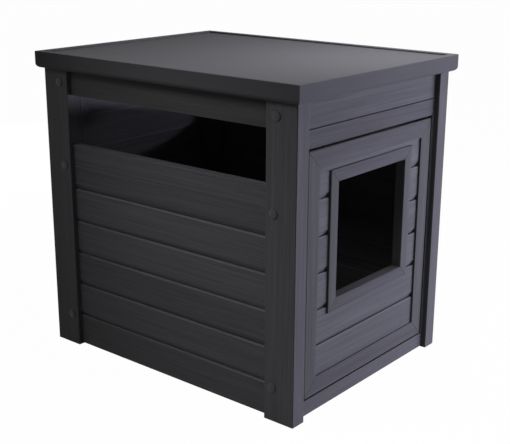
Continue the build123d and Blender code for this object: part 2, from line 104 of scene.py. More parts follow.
# Cutters
WINDOW_MARGIN = 0.01  # how far the window's cutter stands out of the slats, in metres
SEAM_REACH = 3  # length of a mitre's cutter, in widths of a rail
MITRE = math.radians(45)

# Meshes of the caps and screws
CAP_RINGS = 24
HEAD_SEGMENTS = 32
HEAD_RINGS = 16
HEAD_FULLNESS = 0.5
SHANK_SIDES = 24
RECESS_LENGTH = 1.1  # in radii of the head
RECESS_WIDTH = 0.24
CLUSTER_REACH = 0.02  # like pieces in one node lie further apart than this, in metres

# Shading
SHARP_EDGE = math.radians(35)
FACET_EDGE = math.radians(5)  # for a CAD board, so that its flats stay flat

FILM_WIDTH = 36.0  # in mm


def low(node):
    """Lowest corner of a CAD node."""
    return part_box(node)[0]


def high(node):
    """Highest corner of a CAD node."""
    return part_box(node)[1]


def length_prop(name, description, default):
    return FloatProperty(name=name, description=description, default=default, unit="LENGTH")


def angle_prop(name, description, degrees):
    return FloatProperty(name=name, description=description, default=math.radians(degrees), subtype="ANGLE")


def share_prop(name, description, default):
    return FloatProperty(name=name, description=description, default=default, subtype="FACTOR")


def colour_prop(name, description, default):
    return FloatVectorProperty(name=name, description=description, default=default, subtype="COLOR")


def point_prop(name, description, default):
    return FloatVectorProperty(
        name=name, description=description, default=default, subtype="TRANSLATION", unit="LENGTH"
    )


class TableSizes(bpy.types.PropertyGroup):
    """Sizes of the detail that is added to the boards and fastenings."""

    slat_height: length_prop("Slat height", "Height of a full slat, from joint to joint", 0.0625)
    slat_drop: length_prop("Bevel height", "Height of the bevel under a slat's face", 0.010)
    slat_cut: length_prop("Bevel depth", "Depth of the bevel under a slat's face", 0.0045)
    slat_seam: length_prop("Slat seam", "Gap between a slat and the one above", 0.0002)
    slat_ease: length_prop("Slat chamfer", "Chamfer along the top of a slat's front", 0.0018)
    last_ease: length_prop("Last slat chamfer", "Chamfer of the slat under a rail", 0.0008)
    tongue_thick: length_prop("Tongue thickness", "Thickness of a slat's tongue", 0.005)
    tongue_reach: length_prop("Tongue reach", "Height of a slat's tongue", 0.006)
    tongue_clear: length_prop("Tongue clearance", "Play of a tongue in its groove", 0.0002)
    relief_depth: length_prop("Grain relief", "Depth of the brushed grain on a slat", 0.00016)
    relief_step: length_prop("Relief step", "Mesh step across the grain of a slat", 0.0009)
    length_step: length_prop("Length step", "Mesh step along a slat", 0.008)
    mitre_seam: length_prop("Mitre seam", "Width of the seam between mitred boards", 0.0005)
    mitre_depth: length_prop("Mitre seam depth", "Depth of the seam between mitred boards", 0.0012)
    gap_height: length_prop("Shadow gap", "Height of the gap between the header and the apron", 0.0014)
    gap_depth: length_prop("Shadow gap depth", "Depth of the gap over the header", 0.008)
    small_shank: length_prop("Small shank", "Radius of the screws in the catch and its plate", 0.0017)
    top_shank: length_prop("Top screw shank", "Radius of the screws that hold the top", 0.002)
    cap_fullness: FloatProperty(
        name="Cap fullness", description="Power of the cap's dome, lower is fuller", default=0.5
    )
    cap_segments: IntProperty(name="Cap segments", description="Faces round a bolt cap", default=48)


class TableColours(bpy.types.PropertyGroup):
    """Colours of the finishes."""

    board: colour_prop("Boards", "Composite of the wall slats and the plain boards", (0.066, 0.065, 0.070))
    field: colour_prop("Door slats", "Composite of the slats in the door", (0.073, 0.073, 0.078))
    frame: colour_prop("Frame", "Composite of the header and the door's level members", (0.056, 0.055, 0.060))
    stile: colour_prop("Stiles", "Composite of the door's upright members", (0.059, 0.059, 0.060))
    # Darker than the boards as painted shade, standing for the shadow under the top's overhang
    rail: colour_prop("Rails", "Composite of the rails over the slots", (0.046, 0.046, 0.047))
    post: colour_prop("Posts", "Composite of the corner posts", (0.066, 0.065, 0.069))
    top: colour_prop("Top", "Satin composite of the table top", (0.058, 0.0575, 0.061))
    cap: colour_prop("Caps", "Moulded plastic of the bolt caps", (0.064, 0.063, 0.067))
    black: colour_prop("Black plastic", "Catch case and bushes", (0.022, 0.022, 0.023))
    zinc: colour_prop("Zinc", "Plated steel of the bolts, screws and plate", (0.60, 0.61, 0.62))
    dark_steel: colour_prop("Dark steel", "Blackened steel of the pivot pins", (0.05, 0.05, 0.052))
    brass: colour_prop("Brass", "Threaded inserts", (0.70, 0.50, 0.22))
    ferrite: colour_prop("Ferrite", "Magnet of the catch", (0.06, 0.058, 0.056))


class TableStage(bpy.types.PropertyGroup):
    """Floor, room and camera."""

    floor_size: length_prop("Floor size", "Side of the square floor", 40.0)
    floor_grey: share_prop("Floor grey", "How light the floor is to the lamps", 0.65)
    floor_white: share_prop("Floor white", "Share of plain white in the floor as it is seen", 0.985)
    room_grey: share_prop("Room grey", "Light of the room from all sides", 0.06)
    camera_place: point_prop("Camera place", "Where the camera stands", (-1.3728, -1.1561, 0.7850))
    camera_yaw: angle_prop("Camera yaw", "Turn from the door's normal", 50.483)
    camera_pitch: angle_prop("Camera pitch", "Tilt below the horizon", 16.87)
    camera_roll: angle_prop("Camera roll", "Roll about the view", 0.26)
    lens: FloatProperty(name="Lens", description="Focal length on a 36 mm frame, in mm", default=70.09)


def lamp_props(lamp, power, colour, place, size, aim, spread):
    """Properties of one rectangular lamp, by name."""
    return {
        "power": FloatProperty(name="Power", description=f"Power of the {lamp}", default=power, unit="POWER"),
        "colour": colour_prop("Colour", f"Colour of the {lamp}", colour),
        "place": point_prop("Place", f"Middle of the {lamp}", place),
        "size": FloatVectorProperty(
            name="Size", description=f"Width and height of the {lamp}", default=size, size=2, unit="LENGTH"
        ),
        "aim": point_prop("Aim", f"Point that the {lamp} faces", aim),
        "spread": angle_prop("Spread", f"Width of the beam of the {lamp}", spread),
    }


class KeyLamp(bpy.types.PropertyGroup):
    """Low strip of cool daylight at the right front, which lights the door."""

    __annotations__ = lamp_props(
        "key lamp", power=132.0, colour=(0.80, 0.80, 1.0), place=(1.75, -1.35, 0.10), size=(1.5, 0.14),
        aim=(0.0, 0.0, 0.3), spread=180,
    )


class NearLamp(bpy.types.PropertyGroup):
    """Small soft lamp high beside the left long side."""

    __annotations__ = lamp_props(
        "near lamp", power=1.05, colour=WHITE, place=(-0.85, 0.35, 1.05), size=(0.4, 0.4),
        aim=(-0.22, -0.35, 0.1), spread=60,
    )


class AboveLamp(bpy.types.PropertyGroup):
    """Lamp above the right front of the top."""

    __annotations__ = lamp_props(
        "lamp above", power=7.9, colour=(0.95, 0.94, 1.0), place=(0.18, -0.31, 0.98), size=(0.3, 0.3),
        aim=(-0.05, 0.0, 0.56), spread=180,
    )


class SideLamp(bpy.types.PropertyGroup):
    """Small lamp that shines in through the right slot."""

    __annotations__ = lamp_props(
        "side lamp", power=0.42, colour=(0.85, 0.88, 1.0), place=(1.0, -0.62, 0.62), size=(0.25, 0.1),
        aim=(-0.1, 0.26, 0.40), spread=60,
    )


class BehindLamp(bpy.types.PropertyGroup):
    """Low lamp behind the table."""

    __annotations__ = lamp_props(
        "lamp behind", power=30.0, colour=WHITE, place=(0.55, 2.2, 0.35), size=(1.2, 0.3),
        aim=(0.0, 0.0, 0.3), spread=180,
    )


LAMPS = {"key": KeyLamp, "near": NearLamp, "above": AboveLamp, "side": SideLamp, "behind": BehindLamp}
GROUPS = {
    "table_sizes": TableSizes,
    "table_colours": TableColours,
    "table_stage": TableStage,
    **{f"{name}_lamp": group for name, group in LAMPS.items()},
}


class Value:
    """One output of a node, whose arithmetic adds Math nodes to its tree."""

    def __init__(self, nodes, socket):
        self.nodes = nodes
        self.socket = socket

    def math(self, operation, first, second=0.0):
        return self.nodes.node("ShaderNodeMath", {"operation": operation}, {0: first, 1: second})

    def __add__(self, other):
        return self.math("ADD", self, other)

    def __sub__(self, other):
        return self.math("SUBTRACT", self, other)

    def __rsub__(self, other):
        return self.math("SUBTRACT", other, self)

    def __mul__(self, other):
        return self.math("MULTIPLY", self, other)

    def __truediv__(self, other):
        return self.math("DIVIDE", self, other)

    def __rtruediv__(self, other):
        return self.math("DIVIDE", other, self)

    def __pow__(self, other):
        return self.math("POWER", self, other)

    def __rpow__(self, other):
        return self.math("POWER", other, self)

    __radd__ = __add__
    __rmul__ = __mul__

    def floor(self):
        return self.math("FLOOR", self)

    def at_least(self, other):
        return self.math("MAXIMUM", self, other)

    def at_most(self, other):
        return self.math("MINIMUM", self, other)

    def share(self):
        """The value kept between 0 and 1."""
        return self.at_least(0.0).at_most(1.0)

    def swing(self, amount):
        """How far noise is from its middle, times an amount."""
        return (self - MIDDLE) * amount


class Nodes:
    """Adds nodes to one shader or geometry tree."""

    def __init__(self, tree):
        self.tree = tree

    def node(self, kind, settings=None, inputs=None, output=0):
        """Add a node, set it up, fill or link its sockets, and return one of its outputs."""
        node = self.tree.nodes.new(kind)
        for name, setting in (settings or {}).items():
            setattr(node, name, setting)
        for name, value in (inputs or {}).items():
            links = value if isinstance(value, list) else [value]
            for item in links:
                if isinstance(item, Value):
                    self.tree.links.new(item.socket, node.inputs[name])
                else:
                    node.inputs[name].default_value = item
        return Value(self, node.outputs[output]) if node.outputs else None

    def vector(self, operation, first, second, output=0):
        return self.node("ShaderNodeVectorMath", {"operation": operation}, {0: first, 1: second}, output)

    def join(self, x=0.0, y=0.0, z=0.0):
        """A vector of three coordinates."""
        return self.node("ShaderNodeCombineXYZ", None, {"X": x, "Y": y, "Z": z})

    def parts(self, vector):
        """The three coordinates of a vector."""
        split = self.node("ShaderNodeSeparateXYZ", None, {"Vector": vector}).socket.node
        return [Value(self, socket) for socket in split.outputs]

    def noise(self, place, detail, roughness, shift):
        """Soft noise of unit scale, about 0.5 on average."""
        inputs = {"Vector": place, "W": shift, "Scale": 1.0, "Detail": detail, "Roughness": roughness}
        return self.node("ShaderNodeTexNoise", {"noise_dimensions": "4D"}, inputs)

    def place(self):
        """Object coordinates of a finish."""
        return self.node("ShaderNodeTexCoord", output="Object")

    def grain(self, place, axis, grain, row=0.0):
        """Noise drawn out along one axis."""
        scale = tuple(grain.along if name == axis else grain.across for name in AXES)
        waves = self.vector("MULTIPLY", place, scale)
        return self.noise(waves, grain.detail, grain.roughness, row + grain.shift)

    def blend(self, share, first, second):
        """A colour between two colours."""
        settings = {"data_type": "RGBA", "clamp_factor": True}
        inputs = {MIX_SHARE: share, MIX_FIRST: first, MIX_SECOND: second}
        return self.node("ShaderNodeMix", settings, inputs, MIX_RESULT)

    def mottle(self, level, colour, darkest, lightest):
        """Shades of one colour."""
        return self.blend(level, shade(colour, darkest), shade(colour, lightest))

    def bump(self, height, strength, distance):
        inputs = {"Strength": strength, "Distance": distance, "Height": height}
        return self.node("ShaderNodeBump", None, inputs)

    def weld(self, shape):
        """A CAD node's loose triangles joined at their points."""
        return self.node("GeometryNodeMergeByDistance", None, {"Geometry": shape, "Distance": WELD})

    def move(self, shape, place, turn=(0.0, 0.0, 0.0)):
        inputs = {"Geometry": shape, "Translation": place, "Rotation": turn}
        return self.node("GeometryNodeTransform", None, inputs)

    def box(self, size, place, turn=(0.0, 0.0, 0.0)):
        return self.move(self.node("GeometryNodeMeshCube", None, {"Size": size}), place, turn)

    def cut(self, shape, cutters):
        """A shape less its cutters."""
        settings = {"operation": "DIFFERENCE", "solver": "MANIFOLD"}
        return self.node("GeometryNodeMeshBoolean", settings, {0: shape, 1: cutters})

    def dome(self, segments, rings, radius, rise, power):
        """A round head with a flat base, which is fuller the lower the power is."""
        ball = self.node("GeometryNodeMeshUVSphere", None, {"Segments": segments, "Rings": rings})
        x, y, z = self.parts(self.node("GeometryNodeInputPosition"))
        place = self.join(x * radius, y * radius, z.at_least(0.0) ** power * rise)
        return self.node("GeometryNodeSetPosition", None, {"Geometry": ball, "Position": place})

    def seat(self, points, shape):
        """A copy of a shape on each point, turned the way that the point faces."""
        settings = {"data_type": "FLOAT_VECTOR"}
        outward = self.node("GeometryNodeInputNamedAttribute", settings, {"Name": "outward"})
        turn = self.node("FunctionNodeAlignRotationToVector", {"axis": "Z"}, {"Vector": outward})
        inputs = {"Points": points, "Instance": shape, "Rotation": turn}
        return self.node("GeometryNodeInstanceOnPoints", None, inputs)


def shade(colour, factor):
    """A colour made darker or lighter, for a colour socket."""
    return (*[part * factor for part in colour], 1.0)


def new_finish(name):
    """An empty material with its node helper."""
    material = bpy.data.materials.new(name)
    material.use_nodes = True
    material.node_tree.nodes.clear()
    return material, Nodes(material.node_tree)


def close_finish(nodes, inputs):
    """End a material in one Principled shader."""
    surface = nodes.node("ShaderNodeBsdfPrincipled", None, inputs)
    nodes.node("ShaderNodeOutputMaterial", None, {"Surface": surface})


def composite(name, colour, axis, rows_from=None):
    """Wood-plastic composite with brushed grain along one axis.

    Where the level of the first row is given, each slat has its own tone and a painted highlight along its
    upper chamfer, patchy with the broad grain, standing for light that catches the chamfer.
    """
    material, nodes = new_finish(name)
    place = nodes.place()
    slatted = rows_from is not None
    row = 0.0
    if slatted:
        sizes = bpy.context.scene.table_sizes
        pitch, ease = sizes.slat_height, sizes.slat_ease
        rows = (nodes.parts(place)[2] - rows_from) / pitch
        number = rows.floor()
        row = number * ROW_SHIFT
        tone = nodes.node("ShaderNodeTexWhiteNoise", {"noise_dimensions": "1D"}, {"W": number})
        # band of the painted highlight under the top chamfer of each slat
        edge = ((rows - number - (1 - HIGHLIGHT_FROM * ease / pitch)) * (pitch / ease / HIGHLIGHT_FADE)).share()
    fine = nodes.grain(place, axis, BOARD_FINE, row)
    broad = nodes.grain(place, axis, BOARD_BROAD, row)
    speck = nodes.grain(place, axis, BOARD_SPECK)
    level = MIDDLE + fine.swing(1.1) + broad.swing(0.5) + speck.swing(0.35)
    if slatted:
        level = level + tone.swing(ROW_TONE)
    grained = nodes.mottle(level, colour, darkest=0.6, lightest=1.4)
    if slatted:
        # paint the highlight into that band, patchy with the broad grain
        grained = nodes.blend(edge * (HIGHLIGHT_LEAST + HIGHLIGHT_PATCHES * broad), grained, shade(colour, HIGHLIGHT_GAIN))
    close_finish(nodes, {
        "Base Color": grained,
        "Roughness": 0.5 + fine.swing(0.22) + broad.swing(0.1),
        "Specular IOR Level": 0.035,
        "Normal": nodes.bump(0.55 * fine + 0.25 * broad + 0.2 * speck, strength=0.6, distance=0.0004),
    })
    return material


def satin(name, colour, axis):
    """Smooth composite of the table top, with a faint long grain and soft patches."""
    material, nodes = new_finish(name)
    place = nodes.place()
    fine = nodes.grain(place, axis, TOP_FINE)
    cloud = nodes.grain(place, axis, TOP_CLOUD)
    level = MIDDLE + fine.swing(0.8) + cloud.swing(0.5)
    close_finish(nodes, {
        "Base Color": nodes.mottle(level, colour, darkest=0.82, lightest=1.18),
        "Roughness": 0.62 + fine.swing(0.16) + cloud.swing(0.12),
        "Specular IOR Level": 0.015,
        "Normal": nodes.bump(fine, strength=0.35, distance=0.0002),
    })
    return material


def moulded(name, colour, roughness, pits):
    """Moulded plastic or sintered magnet whose skin has so many fine pits in a metre."""
    material, nodes = new_finish(name)
    place = nodes.place()
    patches = pits / CLOUD_PITS
    skin = nodes.grain(place, "Z", Grain(pits, pits, detail=3.0, roughness=0.6, shift=0.0))
    cloud = nodes.grain(place, "Z", Grain(patches, patches, detail=2.0, roughness=0.5, shift=7.0))
    level = MIDDLE + skin.swing(0.6) + cloud.swing(0.6)
    close_finish(nodes, {
        "Base Color": nodes.mottle(level, colour, darkest=0.8, lightest=1.2),
        "Roughness": roughness + skin.swing(0.2),
        "Specular IOR Level": 0.08,
        "Normal": nodes.bump(skin, strength=0.4, distance=0.0001),
    })
    return material


def plated(name, colour, roughness):
    """Plated or turned metal with patchy tone and fine tool marks."""
    material, nodes = new_finish(name)
    place = nodes.place()
    cloud = nodes.grain(place, "Z", METAL_CLOUD)
    marks = nodes.grain(place, "Z", METAL_MARKS)
    close_finish(nodes, {
        "Base Color": nodes.mottle(MIDDLE + cloud.swing(1.1), colour, darkest=0.8, lightest=1.12),
        "Roughness": roughness + cloud.swing(0.25) + marks.swing(0.1),
        "Metallic": 1.0,
        "Normal": nodes.bump(marks, strength=0.25, distance=0.0001),
    })
    return material


def finish_nodes(material, *names):
    """Put a finish on CAD nodes."""
    for name in names:
        for slot in frame["nodes"][name].material_slots:
            slot.material = material


def new_tree(name, inputs):
    """A geometry tree with named inputs, its node helper and the values of its inputs."""
    tree = bpy.data.node_groups.new(name, "GeometryNodeTree")
    tree.interface.new_socket("Geometry", in_out="INPUT", socket_type="NodeSocketGeometry")
    for label, kind in inputs.items():
        tree.interface.new_socket(label, in_out="INPUT", socket_type=f"NodeSocket{kind}")
    tree.interface.new_socket("Geometry", in_out="OUTPUT", socket_type="NodeSocketGeometry")
    nodes = Nodes(tree)
    entry = nodes.node("NodeGroupInput").socket.node
    return nodes, {socket.name: Value(nodes, socket) for socket in entry.outputs if socket.name}


def close_tree(nodes, geometry, material):
    """End a geometry tree in plain geometry with its material."""
    real = nodes.node("GeometryNodeRealizeInstances", None, {"Geometry": geometry})
    done = nodes.node("GeometryNodeSetMaterial", None, {"Geometry": real, "Material": material})
    nodes.node("NodeGroupOutput", None, {"Geometry": done})
    return nodes.tree


def grow(name, seed, tree, values, sharp=SHARP_EDGE):
    """Run a geometry tree on a seed mesh and return the result as a plain object."""
    body = bpy.data.objects.new(name, seed)
    bpy.context.scene.collection.objects.link(body)
    modifier = body.modifiers.new("shape", "NODES")
    modifier.node_group = tree
    for item in tree.interface.items_tree:
        if item.name in values:
            modifier[item.identifier] = values[item.name]
    bpy.context.view_layer.update()
    shape = bpy.data.meshes.new_from_object(body.evaluated_get(bpy.context.evaluated_depsgraph_get()))
    if not shape.polygons:
        raise RuntimeError(f"{name} has no faces")
    body.modifiers.remove(modifier)
    body.data = shape
    shape.shade_smooth()
    shape.set_sharp_from_angle(angle=sharp)
    return body


def take_place(piece, body, node):
    """Let a piece ride on a body in the place of a CAD node."""
    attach(piece, body)
    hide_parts(node)


def bare_mesh(node):
    """The points and faces of a CAD node in a mesh of their own."""
    source = frame["nodes"][node].data
    points = [vertex.co for vertex in source.vertices]
    faces = [face.vertices for face in source.polygons]
    mesh = bpy.data.meshes.new(node)
    mesh.from_pydata(points, [], faces)
    return mesh


def clusters(node):
    """Boxes of the like pieces in one CAD node."""
    found = []
    for vertex in frame["nodes"][node].data.vertices:
        place = vertex.co
        for lower, upper in found:
            if all(lower[k] - CLUSTER_REACH < place[k] < upper[k] + CLUSTER_REACH for k in range(3)):
                for k in range(3):
                    lower[k] = min(lower[k], place[k])
                    upper[k] = max(upper[k], place[k])
                break
        else:
            found.append((place.copy(), place.copy()))
    return found


def seat_points(seats):
    """Loose points with the direction that each fastening faces."""
    mesh = bpy.data.meshes.new("seats")
    mesh.from_pydata([place for place, _ in seats], [], [])
    outward = mesh.attributes.new("outward", "FLOAT_VECTOR", "POINT")
    for item, (_, direction) in zip(outward.data, seats):
        item.vector = direction
    return mesh


def slat_section(base, top, thick, bevel, ease, foot):
    """Section of a slat as depth and height, from the lower front edge up the face and round the back."""
    sizes = bpy.context.scene.table_sizes
    gap, reach = sizes.tongue_clear, sizes.tongue_reach
    near = (sizes.slat_cut + thick - sizes.tongue_thick) / 2
    far = near + sizes.tongue_thick
    cut, drop = (sizes.slat_cut, sizes.slat_drop) if bevel else (0.0, 0.0)
    section = []
    if bevel:
        shares = np.linspace(0.0, 1.0, BEVEL_STEPS, endpoint=False)
        section += [(cut * (1 - share), base + drop * share) for share in shares]
    face = np.linspace(base + drop, top - ease, max(2, round((top - base - drop) / sizes.relief_step)))
    section += [(0.0, level) for level in face]
    section += [(ease, top)] if ease else []
    section += [(near, top), (near, top + reach), (far, top + reach), (far, top), (thick, top), (thick, base)]
    if foot == "groove":
        roof = base + reach + gap
        section += [(far + gap, base), (far + gap, roof), (near - gap, roof), (near - gap, base)]
    if foot == "tongue":
        section += [(far, base), (far, base - reach), (near, base - reach), (near, base)]
    return section


def slat_mesh(wall, base, top, thick, ease, bevel=True, foot="groove"):
    """A closed slat between two ends of a wall, with close rows of points on its face."""
    section = slat_section(base, top, thick, bevel, ease, foot)
    steps = max(2, round((wall.stop - wall.start) / bpy.context.scene.table_sizes.length_step))
    along = AXES[wall.axis]
    runs = np.linspace(wall.start, wall.stop, steps + 1)
    points = [wall.face + wall.inward * d + along * run + UP * h for run in runs for d, h in section]
    count = len(section)
    faces = []
    for step in range(steps):
        for n in range(count):
            a = step * count + n
            b = step * count + (n + 1) % count
            faces.append((a, b, b + count, a + count))
    faces.append(tuple(range(count)))
    faces.append(tuple(steps * count + n for n in range(count)))
    mesh = bpy.data.meshes.new("slat")
    mesh.from_pydata(points, [], faces)
    shape = bmesh.new()
    shape.from_mesh(mesh)
    bmesh.ops.remove_doubles(shape, verts=shape.verts, dist=WELD)
    bmesh.ops.recalc_face_normals(shape, faces=shape.faces)
    shape.to_mesh(mesh)
    shape.free()
    return mesh


def slat_tree(material, notched):
    """Stacks copies of a slat, brushes a shallow grain into the faces and can notch them round a window."""
    inputs = {"Rows": "Int", "Pitch": "Float", "Relief": "Float", "Outward": "Vector", "Grain": "Vector"}
    if notched:
        inputs.update({"Window size": "Vector", "Window middle": "Vector"})
    nodes, given = new_tree("Notched slats" if notched else "Stacked slats", inputs)
    step = nodes.join(z=given["Pitch"])
    line = nodes.node("GeometryNodeMeshLine", None, {"Count": given["Rows"], "Offset": step})
    stack = nodes.node("GeometryNodeInstanceOnPoints", None, {"Points": line, "Instance": given["Geometry"]})
    real = nodes.node("GeometryNodeRealizeInstances", None, {"Geometry": stack})
    place = nodes.node("GeometryNodeInputPosition")
    shift = (nodes.parts(place)[2] / given["Pitch"]).floor() * RELIEF_SHIFT
    waves = nodes.vector("MULTIPLY", place, given["Grain"])
    grain = nodes.noise(waves, RELIEF_DETAIL, RELIEF_ROUGHNESS, shift)
    facing = nodes.vector("DOT_PRODUCT", nodes.node("GeometryNodeInputNormal"), given["Outward"], "Value")
    mask = ((facing - FACING_FROM) * FACING_GAIN).share()
    height = grain.swing(2.0) * given["Relief"] * mask  # at most the relief, in or out
    lift = nodes.node("ShaderNodeVectorMath", {"operation": "SCALE"}, {0: given["Outward"], "Scale": height})
    shape = nodes.node("GeometryNodeSetPosition", None, {"Geometry": real, "Offset": lift})
    if notched:
        shape = nodes.cut(shape, nodes.box(given["Window size"], given["Window middle"]))
    return close_tree(nodes, shape, material)


def lay_slats(name, wall, tree, mesh, rows, body, node, window=None):
    """Grow one group of slats and put it in the place of its CAD node."""
    sizes = bpy.context.scene.table_sizes
    values = {
        "Rows": rows,
        "Pitch": sizes.slat_height,
        "Relief": sizes.relief_depth,
        "Outward": -wall.inward,
        "Grain": [RELIEF_ALONG if axis == wall.axis else RELIEF_ACROSS for axis in AXES],
    }
    if window:
        lower, upper = window
        values.update({"Window size": upper - lower, "Window middle": (lower + upper) / 2})
    take_place(grow(name, mesh, tree, values), body, node)


def row_count(node):
    """How many full slats a CAD node stacks."""
    sizes = bpy.context.scene.table_sizes
    return round((high(node).z - sizes.tongue_reach - low(node).z) / sizes.slat_height)


class WallSlats(bpy.types.Operator):
    """Build the grained slats of the long sides and the back"""

    bl_idname = "litter_table.wall_slats"
    bl_label = "Wall slats"

    def execute(self, context):
        sizes, board = context.scene.table_sizes, context.scene.table_colours.board
        ends = (high("post_front_left").y, low("post_back_left").y)
        back_ends = (low("back_slats").x, high("back_slats").x)
        walls = {
            "left": Wall(Vector((low("left_slats").x, 0, 0)), AXES["X"], "Y", *ends),
            "right": Wall(Vector((high("right_slats").x, 0, 0)), -AXES["X"], "Y", *ends),
            "back": Wall(Vector((0, high("back_slats").y, 0)), -AXES["Y"], "X", *back_ends),
        }
        first = low("left_slats").z
        trees = {
            "Y": slat_tree(composite("Side slat composite", board, "Y", first), notched=False),
            "X": slat_tree(composite("Back slat composite", board, "X", first), notched=False),
        }
        for side, wall in walls.items():
            tree = trees[wall.axis]
            rows = f"{side}_slats"
            lowest = f"{side}_bottom_slat"
            last = "back_top_slat" if side == "back" else f"{side}_short_slat"
            thick = abs((high(rows) - low(rows)).dot(wall.inward))
            base = low(rows).z
            full = slat_mesh(wall, base, base + sizes.slat_height - sizes.slat_seam, thick, sizes.slat_ease)
            lay_slats(f"{side}_slat_rows", wall, tree, full, row_count(rows), "cabinet", rows)
            last_top = high(last).z - sizes.tongue_reach
            short = slat_mesh(wall, low(last).z, last_top, thick, sizes.last_ease)
            lay_slats(f"{side}_upper_slat", wall, tree, short, 1, "cabinet", last)
            foot_top = high(lowest).z - sizes.tongue_reach
            foot = slat_mesh(wall, low(lowest).z, foot_top, thick, sizes.slat_ease, bevel=False, foot="plain")
            lay_slats(f"{side}_foot_slat", wall, tree, foot, 1, "cabinet", lowest)
        return {"FINISHED"}


class DoorSlats(bpy.types.Operator):
    """Build the grained slats of the door round its window"""

    bl_idname = "litter_table.door_slats"
    bl_label = "Door slats"

    def execute(self, context):
        sizes = context.scene.table_sizes
        pitch, seam, ease = sizes.slat_height, sizes.slat_seam, sizes.slat_ease
        lower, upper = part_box("door_top_slat")
        thick = upper.y - lower.y
        ends = (high("door_stile_left").x, low("door_stile_right").x)
        field = Wall(Vector((0, lower.y, 0)), AXES["Y"], "X", *ends)
        beside = {
            "left": field._replace(stop=low("window_trim_left").x),
            "right": field._replace(start=high("window_trim_right").x),
        }
        floor, roof = high("door_bottom_rail").z, low("door_top_rail").z
        first = low("door_short_slats_left").z
        rows = row_count("door_short_slats_left")
        finish = composite("Door slat composite", context.scene.table_colours.field, "X", first)
        plain, cut = slat_tree(finish, notched=False), slat_tree(finish, notched=True)
        margin = AXES["Y"] * WINDOW_MARGIN
        window = (
            Vector((low("window_trim_left").x, low("window_sill").y, low("window_sill").z)) - margin,
            Vector((high("window_trim_right").x, high("window_sill").y, high("window_trim_head").z)) + margin,
        )
        lowest = slat_mesh(field, floor, first - seam - pitch, thick, ease, bevel=False, foot="tongue")
        lay_slats("door_foot_slat", field, plain, lowest, 1, "door", "door_lower_slats")
        sill = slat_mesh(field, first - pitch, first - seam, thick, ease)
        lay_slats("door_sill_slat", field, cut, sill, 1, "door", "door_lower_slats", window)
        for side, wall in beside.items():
            short = slat_mesh(wall, first, first + pitch - seam, thick, ease)
            lay_slats(f"door_short_rows_{side}", wall, plain, short, rows, "door", f"door_short_slats_{side}")
        head = slat_mesh(field, first + rows * pitch, roof, thick, ease=0.0)
        lay_slats("door_head_slat", field, cut, head, 1, "door", "door_top_slat", window)
        return {"FINISHED"}


class BoltCaps(bpy.types.Operator):
    """Build the domed caps over the post bolts"""

    bl_idname = "litter_table.bolt_caps"
    bl_label = "Bolt caps"

    def execute(self, context):
        sizes = context.scene.table_sizes
        finish = moulded("Cap plastic", context.scene.table_colours.cap, roughness=0.42, pits=900.0)
        nodes, given = new_tree("Bolt caps", {"Radius": "Float", "Rise": "Float", "Fullness": "Float"})
        dome = nodes.dome(sizes.cap_segments, CAP_RINGS, given["Radius"], given["Rise"], given["Fullness"])
        tree = close_tree(nodes, nodes.seat(given["Geometry"], dome), finish)
        post_face = high("post_front_right").x
        boxes = clusters("bolt_caps")
        seats = []
        for lower, upper in boxes:
            middle = (lower + upper) / 2
            side = math.copysign(1, middle.x)
            seats.append((Vector((side * post_face, middle.y, middle.z)), Vector((side, 0, 0))))
        first_low, first_high = boxes[0]
        values = {
            "Radius": (first_high.z - first_low.z) / 2,
            "Rise": high("bolt_caps").x - post_face,
            "Fullness": sizes.cap_fullness,
        }
        take_place(grow("domed_caps", seat_points(seats), tree, values), "cabinet", "bolt_caps")
        return {"FINISHED"}


class ScrewHeads(bpy.types.Operator):
    """Build the cross-recessed screws of the catch, the strike plate and the top"""

    bl_idname = "litter_table.screw_heads"
    bl_label = "Screw heads"

    def execute(self, context):
        sizes = context.scene.table_sizes
        tree = self.screw_tree(plated("Screw zinc", context.scene.table_colours.zinc, roughness=0.36))
        groups = (
            ("catch_screws", AXES["X"], high("catch_case").x, sizes.small_shank, "cabinet"),
            ("strike_screws", AXES["Y"], high("strike_plate").y, sizes.small_shank, "door"),
            ("top_screws", -AXES["Z"], low("top_cleat_left").z, sizes.top_shank, "cabinet"),
        )
        for node, direction, level, shank, body in groups:
            axis = max(range(3), key=lambda k: abs(direction[k]))
            across = (axis + 1) % 3
            seats = []
            for lower, upper in clusters(node):
                middle = (lower + upper) / 2
                middle[axis] = level
                seats.append((middle, direction))
            rise, length = sorted((abs(lower[axis] - level), abs(upper[axis] - level)))
            values = {
                "Head radius": (upper[across] - lower[across]) / 2,
                "Head rise": rise,
                "Shank radius": shank,
                "Length": length,
            }
            take_place(grow(f"{node}_cross", seat_points(seats), tree, values), body, node)
        return {"FINISHED"}

    def screw_tree(self, finish):
        """A screw with a domed head and a cross recess, on each point."""
        inputs = {"Head radius": "Float", "Head rise": "Float", "Shank radius": "Float", "Length": "Float"}
        nodes, given = new_tree("Cross-recessed screws", inputs)
        radius, rise, length = given["Head radius"], given["Head rise"], given["Length"]
        crown = nodes.join(z=rise)
        recess = [
            nodes.box(nodes.join(radius * wide, radius * slim, rise), crown)
            for wide, slim in ((RECESS_LENGTH, RECESS_WIDTH), (RECESS_WIDTH, RECESS_LENGTH))
        ]
        head = nodes.cut(nodes.dome(HEAD_SEGMENTS, HEAD_RINGS, radius, rise, HEAD_FULLNESS), recess)
        rod = nodes.node("GeometryNodeMeshCylinder", None, {
            "Vertices": SHANK_SIDES, "Radius": given["Shank radius"], "Depth": length,
        })
        shank = nodes.move(rod, nodes.join(z=length * -0.5))
        screw = nodes.node("GeometryNodeJoinGeometry", None, {"Geometry": [head, shank]})
        return close_tree(nodes, nodes.seat(given["Geometry"], screw), finish)


